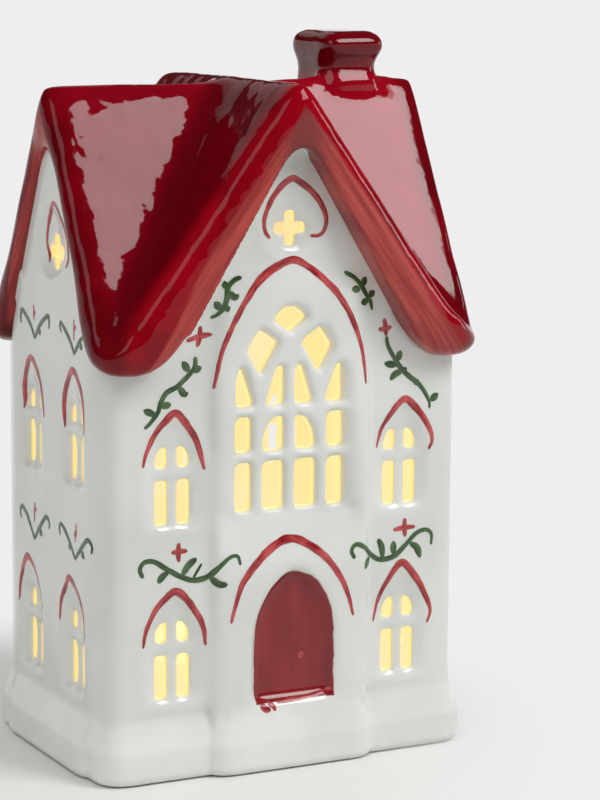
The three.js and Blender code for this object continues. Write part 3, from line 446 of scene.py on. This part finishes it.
def red_glaze():
    """Deep red lead-free glaze over faint pressed tiles, brushed thinner on the gables' faces, with
    light and shade painted on its slopes and a painted warm glow inside.
    """
    material, start, shader = finish(
        "red_glaze", Roughness=0.06, Coat_Roughness=0.06, Specular_IOR_Level=0.22,
        Emission_Strength=1.0,
    )
    place, x, y, z = object_place(start)
    normal = start.node("ShaderNodeNewGeometry", {}, {}, "Normal")
    upright = start.node("ShaderNodeSeparateXYZ", {}, {0: normal}, "Z")
    cloud = start.node("ShaderNodeTexNoise", {}, {"Vector": place, "Scale": 45.0, "Detail": 2.0})
    (x.rise(-5.0, 20.0) * 0.27).feed(shader, "Coat Weight")
    side_rim = start.maths("MAXIMUM", abs(x).rise(58.0, 65.0), z.rise(225.0, 229.0))
    valley = abs(x) * END_PITCH - abs(y) * SIDE_PITCH
    # Painted light and shade: the front and back slopes are coloured lighter than the side slopes,
    # and lighter still on their right half, where the key light falls; they darken towards the
    # valleys and the ridge, where shade falls.
    painted_lit_slopes = valley.rise(2.0, 16.0) * (1 - z.rise(224.0, 228.0))
    shade = cloud * 0.35 + painted_lit_slopes * (0.42 + x.rise(0.0, 20.0) * 0.38)
    slope = shade.blend((0.075, 0.0004, 0.003, 1), (0.29, 0.0014, 0.01, 1))
    lip = cloud.rise(0.25, 0.75).blend((0.18, 0.0007, 0.005, 1), (0.34, 0.0014, 0.009, 1))
    side_lip = cloud.rise(0.25, 0.75).blend((0.1, 0.0005, 0.003, 1), (0.18, 0.0008, 0.005, 1))
    deep = side_rim.blend(abs(y).rise(42.0, 50.0).blend(slope, lip), side_lip)
    long_rake = (z + abs(x) * END_PITCH) / END_SLANT
    short_rake = (z + abs(y) * SIDE_PITCH) / SIDE_SLANT
    paints = []
    for rake, level in ((long_rake, x), (short_rake, y)):
        drawn = {0: rake * 0.75, 1: z * 0.03, 2: level * 0.01}
        hair = start.node("ShaderNodeCombineXYZ", {}, drawn)
        streak = start.node("ShaderNodeTexNoise", {}, {"Vector": hair, "Scale": 1.0, "Detail": 3.0})
        thick, thin = (0.24, 0.018, 0.018, 1), (0.44, 0.062, 0.052, 1)
        paints.append(streak.rise(0.25, 0.75).blend(thick, thin))
    end_paint, side_paint = paints
    left_tongues = (1 - z.rise(138.0, 172.0)) * (1 - x.rise(-10.0, 10.0))
    edge = (cloud - 0.5) * 3 + left_tongues * 4.5 - x.rise(-4.0, 4.0) * 1.6
    below = (1 - upright.rise(-0.35, -0.2)) * (1 - z.rise(222.0, 223.0))
    end_face = (abs(y) + below * 5).rise(48.5, 50.5) * (1 - (long_rake + edge).rise(127.2, 128.6))
    side_face = abs(x).rise(63.5, 65.5) * (1 - (short_rake + edge).rise(100.0, 101.4))
    end_paint = (1 - abs(x).rise(2.0, 12.0)).blend(end_paint, (0.2, 0.03, 0.03, 1))
    red = end_face.blend(side_face.blend(deep, side_paint), end_paint)
    bare = below * (1 - (abs(y) + x.rise(1.0, 8.0) * 7).rise(50.2, 50.8))
    bare = bare * (1 - abs(x).rise(46.0, 47.0)) * z.rise(133.0, 134.0)
    red = bare.blend(red, (0.74, 0.745, 0.72, 1))
    # Painted light: the roof's inside is bare clay given a warm glow, standing in for the lamp's
    # light on it.
    loft = below * (1 - abs(y).rise(40.5, 41.5)) * (1 - abs(x).rise(59.5, 60.5))
    loft = loft * z.rise(136.0, 137.0)
    loft.blend(red, BARE_CLAY).feed(shader, "Base Color")
    loft.blend(NO_LIGHT, (0.74, 0.6, 0.3, 1)).feed(shader, "Emission Color")
    tiles = start.node(
        "ShaderNodeTexVoronoi",
        {"feature": "SMOOTH_F1"},
        {"Vector": place, "Scale": 115.0, "Smoothness": 0.6, "Randomness": 0.45},
    )
    swell = start.node("ShaderNodeTexNoise", {}, {"Vector": place, "Scale": 60.0, "Detail": 3.0})
    height = swell * 0.9 - tiles * (0.8 - 0.5 * x.rise(0.0, 20.0))
    bump = start.node("ShaderNodeBump", {}, {"Strength": 0.7, "Distance": 0.0009, "Height": height})
    bump.feed(shader, "Normal")
    return material


roof_clay = clay_copy("roof_casting")
for vert in roof_clay.verts:
    if vert.co.z > 0.221:
        vert.co.z += 1.2 * MM
stack = clay_copy("chimney")
for vert in stack.verts:
    vert.co.x += (vert.co.x - CHIMNEY_X * MM) * 0.11
    vert.co.y += (vert.co.y - CHIMNEY_Y * MM) * 0.11
    if vert.co.z < 0.2245:
        vert.co.z -= 0.9 * MM
stack_mesh = bpy.data.meshes.new("stack")
stack.to_mesh(stack_mesh)
stack.free()
roof_clay.from_mesh(stack_mesh)
roof = glazed(
    "roof", roof_clay, grain=1.05 * MM * coarse, passes=4, triangles=185000,
    weigh=rolled_share, deep_passes=230, press=hand_formed,
)
roof.data.materials.append(red_glaze())
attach(roof, "house")
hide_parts("roof_casting", "chimney")


# The painting: brush strokes of red and green underglaze colour on the walls, each laid on as a
# thin ribbon of paint that follows the clay, fuller in its middle than at its ends and edges. The
# lists give a stroke's widths at its start, middle and end, then its places (across, height), in mm.
ARCH, STEM, TWIG = (0.8, 2.7, 0.9), (1.5, 2.0, 1.0), (0.9, 1.1, 0.8)
LEAF, PETAL, BERRY = (0.9, 2.7, 0.7), (1.2, 2.0, 1.0), (2.8, 3.9, 2.8)
front_red = [
    (ARCH, (-52.5, 103.5), (-51.3, 107.9), (-48.1, 114.2), (-44.6, 117.9), (-41, 120.4),
     (-36.8, 116), (-33.2, 109.8), (-31, 101.4)),
    (ARCH, (-52.5, 44.8), (-51.4, 50.4), (-48.2, 56.7), (-44.6, 60.3), (-40.7, 62.5), (-36, 58.1),
     (-31.6, 50.9), (-30.6, 43.7)),
    (ARCH, (32.1, 103.6), (34, 109.6), (37.8, 114.8), (42.4, 119.4), (46.3, 116.9), (51.1, 111.1),
     (53.4, 105.4), (52, 101.7)),
    (ARCH, (31.4, 44.9), (33.6, 52.3), (37, 58.2), (42.2, 64), (47.2, 59.3), (51.3, 52.6),
     (53.6, 46.7), (52.3, 42.3)),
    ((0.9, 3.0, 0.9), (-23, 50.7), (-21.6, 56), (-18.7, 63.8), (-12.8, 70.6), (-6.9, 74.8),
     (-0.9, 76.6), (5.1, 74.4), (11.2, 69.7), (16.6, 63), (19.7, 56.5), (21.9, 48.8)),
    ((0.8, 2.7, 0.9), (-28.3, 127.4), (-27.1, 132.9), (-24.9, 140.7), (-19.9, 150.9),
     (-14.2, 159.1), (-8.4, 164), (-0.3, 167.6), (6.4, 164.7), (13.9, 158.4), (19, 151.9),
     (22.7, 145), (25.4, 136.6), (26.6, 125.8)),
    ((1.2, 2.4, 1.0), (-7.7, 174.7), (-9.4, 176.6), (-10, 179.7), (-9.4, 182.7), (-7.6, 186.7),
     (-4.5, 190.7), (-1.3, 193.2), (0.8, 193.7), (3.3, 192.1), (6.6, 189.7), (9.4, 186.8),
     (11.5, 183.4), (12.4, 179.9), (11.6, 176.6), (9.5, 175), (6.8, 175)),
    (PETAL, (-32.2, 147.8), (-32.6, 144.4), (-33.3, 141)),
    (PETAL, (-37.2, 143.2), (-32.8, 144.4), (-28.2, 145)),
    (PETAL, (34.6, 146.8), (35.2, 143.8), (35.5, 140.8)),
    (PETAL, (32.4, 143.2), (35, 143.2), (37.6, 143.7)),
    (PETAL, (-39.8, 78.3), (-39.9, 75), (-39.7, 71.8)),
    (PETAL, (-42.5, 75.1), (-39.5, 75.4), (-36.6, 75.3)),
    (PETAL, (43.4, 79.1), (43.4, 75.8), (43.7, 72.5)),
    (PETAL, (39, 75.3), (43.4, 75.8), (47.6, 75.8)),
    ((1.6, 1.3, 0.8), (14.6, 24.6), (9, 23.3), (1, 22.6), (-6, 22.3)),
    ((1.6, 2.6, 1.2), (-12.2, 22.2), (-10.6, 21), (-8.6, 20.2)),
    ((0.9, 1.7, 0.9), (-9.4, 22.8), (-7.6, 21.4), (-7, 19.8)),
    ((2.0, 2.8, 2.0), (3.2, 37), (4.2, 36.7), (5.2, 36.3)),
]
front_green = [
    (STEM, (-17.8, 162.8), (-20.4, 161.9), (-22.9, 159.8), (-23.6, 156.5), (-24.7, 153.3),
     (-26.8, 151.1), (-29, 150.1)),
    (LEAF, (-23.6, 159), (-24.1, 161.9)),
    (LEAF, (-23.2, 158.8), (-21.1, 156.5), (-19.6, 157.5)),
    (LEAF, (-25.4, 152.8), (-27.7, 155.3)),
    (LEAF, (-24.7, 152.8), (-22.6, 153.4)),
    (STEM, (-34, 138.1), (-34.5, 134.2), (-39.7, 129.3), (-44, 127), (-46.1, 123.9), (-47.1, 121.1),
     (-49.6, 118), (-51.9, 115.9)),
    (LEAF, (-36.1, 133.2), (-38.6, 136.8)),
    (LEAF, (-35.4, 133.3), (-31.8, 134.6)),
    (LEAF, (-40, 129), (-37.9, 126.3), (-36.5, 126.8)),
    (LEAF, (-46.2, 122.7), (-42.5, 123.3)),
    (LEAF, (-47.9, 120.2), (-52.1, 122)),
    (STEM, (19.2, 162.8), (22.6, 161), (25.3, 158.2), (27.2, 155.4), (29.2, 152.6), (30, 149.6)),
    (LEAF, (25.7, 157.8), (27.5, 160.9)),
    (LEAF, (24.9, 156.9), (21.3, 157.2)),
    (LEAF, (28.4, 154.3), (31, 156)),
    (LEAF, (28.4, 152.8), (25, 152.5)),
    (STEM, (35.5, 140.8), (36.3, 137.4), (38.7, 133.2), (41.4, 129.6), (44.6, 126.7), (47.8, 124.4),
     (50.2, 121.5), (52.2, 117.9), (52.2, 115.5)),
    (LEAF, (39.9, 132.1), (41, 135.8)),
    (LEAF, (39.9, 130.9), (34.8, 131.7)),
    (LEAF, (41.8, 128.5), (43.4, 129.8)),
    (LEAF, (41.8, 128.5), (39.1, 128), (37.2, 125.9)),
    (LEAF, (46.2, 125.6), (48, 124)),
    (LEAF, (52.6, 118), (55.7, 120.5)),
    (STEM, (-52.2, 67.8), (-53.4, 70.6), (-51.8, 72.9), (-48.3, 72.7), (-44, 70), (-38.9, 67),
     (-34.2, 65.4), (-29.9, 66.3), (-26.6, 69.7), (-23.3, 72.4), (-20.4, 72.6), (-19.4, 69.6)),
    (LEAF, (-43.3, 68.9), (-45.4, 67.8), (-47.2, 65.6)),
    ((1.2, 2.6, 1.4), (-38.6, 67.5), (-36.4, 70.3), (-33.5, 72.7)),
    (TWIG, (-34.7, 66.1), (-31.6, 70.8)),
    ((1.2, 2.6, 1.4), (-29.1, 66.4), (-26.9, 64), (-24, 63.7)),
    (STEM, (22.6, 67.8), (21.4, 70.6), (23.3, 72.5), (26.8, 71.1), (30.7, 67.6), (34.6, 65.7),
     (39.3, 66.4), (43.5, 69.5), (47.8, 73.3), (51.4, 74.4), (53.8, 72.8), (53.8, 68.9)),
    (LEAF, (29.5, 67.4), (26.9, 63.7)),
    ((1.2, 2.6, 1.4), (35.1, 66.1), (34.7, 70), (33.3, 72.9)),
    (LEAF, (39.3, 66.7), (39.2, 71.7)),
    (LEAF, (45.5, 70.4), (48.3, 68.4), (49.7, 64.8)),
]
side_red = [
    (ARCH, (10.4, 112.2), (10.2, 119), (13.1, 125.9), (19.5, 132.2), (24.6, 128.8), (27.8, 122.9),
     (28.6, 112.5)),
    (ARCH, (-25.3, 113.4), (-23.9, 122.1), (-16.6, 131.7), (-8.9, 126.1), (-5.6, 118),
     (-4.7, 113.2)),
    (ARCH, (7.1, 47.5), (8.8, 54.9), (12.5, 59.9), (16.1, 63.5), (22.5, 59.2), (26.5, 54),
     (27.2, 45.1)),
    (ARCH, (-28.8, 46.6), (-26.4, 55.8), (-20.4, 63.6), (-13, 57.8), (-9.1, 47.5)),
    ((0.9, 1.7, 1.2), (-4.9, 164.4), (-7.1, 170.8), (-4.4, 178.1), (2.5, 184.5), (9.1, 179.9),
     (13.9, 174), (15.1, 167.7), (13, 164.5)),
    (BERRY, (20.7, 79.8), (21.3, 79), (21.7, 78.2)),
    (BERRY, (-13.9, 81.6), (-13.5, 80.8), (-13.2, 80)),
    (BERRY, (-13.2, 147.8), (-12.8, 147), (-12.4, 146.2)),
    (BERRY, (20.9, 146.9), (21.3, 146.1), (21.7, 145.3)),
    (TWIG, (21.9, 82.6), (20.9, 76.3)),
    (TWIG, (-13.5, 83.4), (-14.2, 76.4)),
    (TWIG, (-13.2, 150), (-13, 144.6)),
    (TWIG, (21, 149), (20.8, 142)),
]
side_green = [
    (STEM, (21.3, 70.3), (16.9, 74.8), (13.4, 77.9), (9.3, 80.1), (7.7, 78.7), (8.4, 76.2)),
    (STEM, (21.3, 71), (25.1, 74.6), (30.9, 78.7), (33.7, 77.2), (33.3, 74.6)),
    (LEAF, (25.6, 74.2), (28.5, 72.2)),
    (LEAF, (16.9, 75.3), (16, 72.8)),
    (STEM, (-13.5, 70.3), (-17.8, 74.8), (-21.5, 78.5), (-25.3, 80), (-26.7, 77.6), (-25.4, 75.8)),
    (STEM, (-13.5, 71.1), (-9.7, 75.4), (-4, 79.9), (-1, 78.5), (-1.3, 76.4)),
    (LEAF, (-9.7, 74.9), (-7.3, 72.8)),
    (LEAF, (-18.4, 75.7), (-17.5, 74.4)),
    (STEM, (-12.1, 138.4), (-16.4, 143), (-23.3, 147), (-24.8, 144), (-23.8, 142.5)),
    (STEM, (-12.1, 138.9), (-8.5, 143.3), (-1.2, 147.4), (0.1, 145.6), (-0.3, 143.1)),
    (LEAF, (-9.4, 142.5), (-7.4, 140.5)),
    (STEM, (21.5, 137.4), (16.7, 142.4), (10.2, 146.5), (9.5, 144.8), (10.6, 143.3)),
    (STEM, (21.5, 138.3), (25.6, 142.3), (28.4, 144.2)),
    (LEAF, (25.1, 141.6), (27.7, 139.9)),
]
gable_arch = front_red[6]
back_red = [gable_arch]
for middle in (-41.6, 0, 41.6):
    for sill in (0, 58):
        arch = [
            (-10.9, 44.9), (-9.8, 50.1), (-6.7, 56.4), (-3.1, 60.4),
            (0.2, 62.9), (4.7, 58.4), (8.8, 51.7), (10.5, 43.9),
        ]
        back_red.append((ARCH, *((across + middle, height + sill) for across, height in arch)))


PAINT_STEP, PAINT_EDGE, PAINT_CROWN = 0.55, 0.06, 0.1


def smooth_path(points, spacing):
    """Places at an even spacing along a smooth line through the points, in millimetres."""
    points = [Vector(point) for point in points]
    ends = [2 * points[0] - points[1], *points, 2 * points[-1] - points[-2]]
    fine = []
    for before, start, end, after in zip(ends, ends[1:], ends[2:], ends[3:]):
        for step in range(20):
            t = step / 20
            bend = (2 * before - 5 * start + 4 * end - after) * t * t
            twist = (3 * start - before - 3 * end + after) * t ** 3
            fine.append(0.5 * ((2 * start) + (end - before) * t + bend + twist))
    fine.append(points[-1])
    travelled = [0.0]
    for start, end in zip(fine, fine[1:]):
        travelled.append(travelled[-1] + (end - start).length)
    count = max(6, round(travelled[-1] / spacing))
    path, at = [], 0
    for number in range(count + 1):
        wanted = travelled[-1] * number / count
        while at < len(fine) - 2 and travelled[at + 1] < wanted:
            at += 1
        share = (wanted - travelled[at]) / max(travelled[at + 1] - travelled[at], 1e-9)
        path.append(fine[at].lerp(fine[at + 1], share))
    return path, travelled[-1]


def brush(bm, marks, wall, turn, strokes):
    """Lays strokes on one side of the house, which turn faces, and marks them for the bristles."""
    inward = turn @ Vector((0, 1, 0))
    for widths, *points in strokes:
        path, length = smooth_path(points, PAINT_STEP)
        count = len(path) - 1
        begin, full, finish_width = widths
        made = bmesh.ops.create_grid(bm, x_segments=count, y_segments=4, size=1)["verts"]
        beginning = len(bm.verts) * 0.37
        rows = {}
        for vert in made:
            number, side = round((vert.co.x + 1) / 2 * count), vert.co.y
            along = number / count
            ahead = path[min(number + 1, count)] - path[max(number - 1, 0)]
            to_side = Vector((-ahead.y, ahead.x)).normalized()
            tail = begin if along < 0.5 else finish_width
            width = tail + (full - tail) * math.sin(math.pi * along) ** 0.8
            width *= 1 + 0.12 * noise.noise(Vector((beginning, along * length * 0.3, 0)))
            gap = min(along, 1 - along) * length
            if gap < width / 2:
                width *= math.sqrt(max(0.04, 1 - (1 - gap / (width / 2)) ** 2))
            across, height = (path[number] + to_side * side * width / 2) * MM
            start = turn @ Vector((across, -0.09, height))
            place, normal, _, _ = wall.ray_cast(start, inward)
            vert.co = place + normal * (PAINT_EDGE + PAINT_CROWN * (1 - side * side)) * MM
            rows[vert] = (beginning + along * length, side)
        for face in {face for vert in made for face in vert.link_faces}:
            face.normal_update()
            if face.normal.dot(inward) > 0:
                face.normal_flip()
            face.smooth = True
            for loop in face.loops:
                loop[marks].uv = rows[loop.vert]


def paint_finish(name, thick, thin):
    """Underglaze colour: streaked along the stroke, ragged at its edges, glossy under the glaze."""
    material, start, shader = finish(name, Roughness=0.16)
    marks = start.node("ShaderNodeUVMap", {"uv_map": "brush"}, {})
    along, side = (start.node("ShaderNodeSeparateXYZ", {}, {0: marks}, axis) for axis in "XY")
    bristles = start.node("ShaderNodeCombineXYZ", {}, {0: along * 0.22, 1: side * 2.4})
    streak = start.node("ShaderNodeTexNoise", {}, {"Vector": bristles, "Scale": 1.0, "Detail": 3.0})
    pooled = start.node("ShaderNodeCombineXYZ", {}, {0: along * 0.12, 1: side * 0.3})
    pool = start.node("ShaderNodeTexNoise", {}, {"Vector": pooled, "Scale": 1.0, "Detail": 1.0})
    wash = (streak * 0.6 + pool * 0.7).rise(0.5, 0.82)
    wash.blend(thick, thin).feed(shader, "Base Color")
    (1 - (abs(side) + streak * 0.5).rise(1.05, 1.25)).feed(shader, "Alpha")
    return material


glazed_walls = surface_of(walls.data)
front, left, back = (Matrix.Rotation(math.radians(angle), 3, "Z") for angle in (0, 270, 180))
right = Matrix.Rotation(math.radians(90), 3, "Z")
across_flip = Matrix.Scale(-1, 3, (1, 0, 0))
red_thick, red_thin = (0.25, 0.005, 0.01, 1), (0.56, 0.085, 0.085, 1)
green_thick, green_thin = (0.02, 0.052, 0.016, 1), (0.075, 0.145, 0.05, 1)
for color, slot, thick, thin, on_front, on_side, on_back in (
    ("red", "red_glaze", red_thick, red_thin, front_red, side_red, back_red),
    ("green", "white_glaze", green_thick, green_thin, front_green, side_green, []),
):
    paint = bmesh.new()
    marks = paint.loops.layers.uv.new("brush")
    turned = ((front, on_front), (left, on_side), (right @ across_flip, on_side), (back, on_back))
    for turn, strokes in turned:
        brush(paint, marks, glazed_walls, turn, strokes)
    paint_mesh = bpy.data.meshes.new(f"{color}_painting")
    paint.to_mesh(paint_mesh)
    paint.free()
    paint_mesh.materials.append(paint_finish(f"{color}_underglaze", thick, thin))
    painting = into_scene(bpy.data.objects.new(f"{color}_painting", paint_mesh))
    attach(painting, "house")


# The lamp module: moulded white plastic with a frosted dome, which fills the hole in the floor and
# holds the board with its four lamps, three AAA cells between plated contacts, and the switch.
def dress(material, *names):
    """Gives pieces of the lamp module their finish."""
    for name in names:
        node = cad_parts[name]
        for held in node.material_slots:
            held.material = material
        if not node.material_slots:
            node.data.materials.append(material)


def moulded(name, low, high, grain, roughness, **sockets):
    """Moulded plastic with a fine spark-eroded grain and a faint flow of colour."""
    material, start, shader = finish(name, Roughness=roughness, **sockets)
    place = object_place(start)[0]
    flow = start.node("ShaderNodeTexNoise", {}, {"Vector": place, "Scale": 60.0, "Detail": 3.0})
    flow.rise(0.3, 0.7).blend((*low, 1), (*high, 1)).feed(shader, "Base Color")
    pits = start.node("ShaderNodeTexNoise", {}, {"Vector": place, "Scale": 2600.0, "Detail": 1.0})
    pitted = {"Strength": grain, "Distance": 0.00008, "Height": pits}
    bump = start.node("ShaderNodeBump", {}, pitted)
    bump.feed(shader, "Normal")
    return material


def plated_steel():
    material, start, shader = finish("plated_steel", Roughness=0.3, Metallic=1.0)
    """Nickel-plated steel, drawn along its length."""
    place = object_place(start)[0]
    along = (400, 3000, 3000)
    drawn = start.node("ShaderNodeVectorMath", {"operation": "MULTIPLY"}, {0: place, 1: along})
    line = start.node("ShaderNodeTexNoise", {}, {"Vector": drawn, "Scale": 1.0, "Detail": 3.0})
    line.blend((0.44, 0.45, 0.47, 1), (0.6, 0.61, 0.63, 1)).feed(shader, "Base Color")
    bump = start.node("ShaderNodeBump", {}, {"Strength": 0.15, "Distance": 0.00005, "Height": line})
    bump.feed(shader, "Normal")
    return material


def cell_wrap():
    """Plain printed film, green with a gold band at the raised end, and bare steel at both ends."""
    material, start, shader = finish("cell_wrap", Roughness=0.25)
    place, x = object_place(start)[:2]
    sheen = start.node("ShaderNodeTexNoise", {}, {"Vector": place, "Scale": 90.0, "Detail": 2.0})
    film = sheen.rise(0.3, 0.7).blend((0.04, 0.18, 0.13, 1), (0.06, 0.24, 0.17, 1))
    band = abs(x).rise(14.9, 15.0)
    capped = abs(x).rise(21.6, 21.7)
    film = band.blend(film, (0.55, 0.36, 0.1, 1))
    capped.blend(film, (0.6, 0.6, 0.6, 1)).feed(shader, "Base Color")
    capped.feed(shader, "Metallic")
    return material


white_plastic = moulded(
    "white_plastic", (0.76, 0.74, 0.68), (0.82, 0.8, 0.74), 0.4, 0.4, Emission_Strength=1.0
)
lit_shader = white_plastic.node_tree.nodes["Principled BSDF"]
# Painted light: the housing's top is given a warm glow, standing in for the lamps' light falling on
# it.
lit_top = object_place(Wire(white_plastic.node_tree))[3].rise(9.0, 11.0)
lit_top.blend(NO_LIGHT, (0.34, 0.27, 0.14, 1)).feed(lit_shader, "Emission Color")
dress(white_plastic, "lamp_housing", "housing_top", "battery_cover")
frosted = moulded(
    "frosted_plastic", (0.9, 0.8, 0.6), (1.0, 0.88, 0.68), 0.5, 0.55,
    Emission_Color=(0.6, 0.46, 0.24, 1), Emission_Strength=1.0,
)
dress(frosted, "diffuser")
dress(moulded("silicone", (0.56, 0.54, 0.5), (0.66, 0.64, 0.6), 0.2, 0.6), "seal_ring")
dress(moulded("board", (0.74, 0.79, 0.72), (0.8, 0.84, 0.78), 0.3, 0.35), "led_board")
black_plastic = moulded("black_plastic", (0.01, 0.01, 0.011), (0.016, 0.016, 0.017), 0.5, 0.45)
dress(black_plastic, "timer_chip", "switch_slider")
lens_epoxy = moulded(
    "lamp_lens", (0.95, 0.64, 0.22), (1.0, 0.74, 0.3), 0.1, 0.12,
    Emission_Color=(1.0, 0.8, 0.45, 1), Emission_Strength=1.0,
)
dress(lens_epoxy, *(f"led_{number}" for number in range(1, 5)))
dress(moulded("red_insulation", (0.4, 0.01, 0.01), (0.5, 0.018, 0.014), 0.2, 0.4), "lead_positive")
black_lead = moulded("black_insulation", (0.011, 0.011, 0.012), (0.016, 0.016, 0.017), 0.2, 0.4)
dress(black_lead, "lead_negative", "lead_switch")
steel_pieces = ["cover_screw", "switch_body"]
for kind in ("board_screw", "contact_plate", "contact_spring"):
    steel_pieces += [f"{kind}_{number}" for number in range(1, 4)]
dress(plated_steel(), *steel_pieces)
dress(cell_wrap(), *(f"battery_{number}" for number in range(1, 4)))
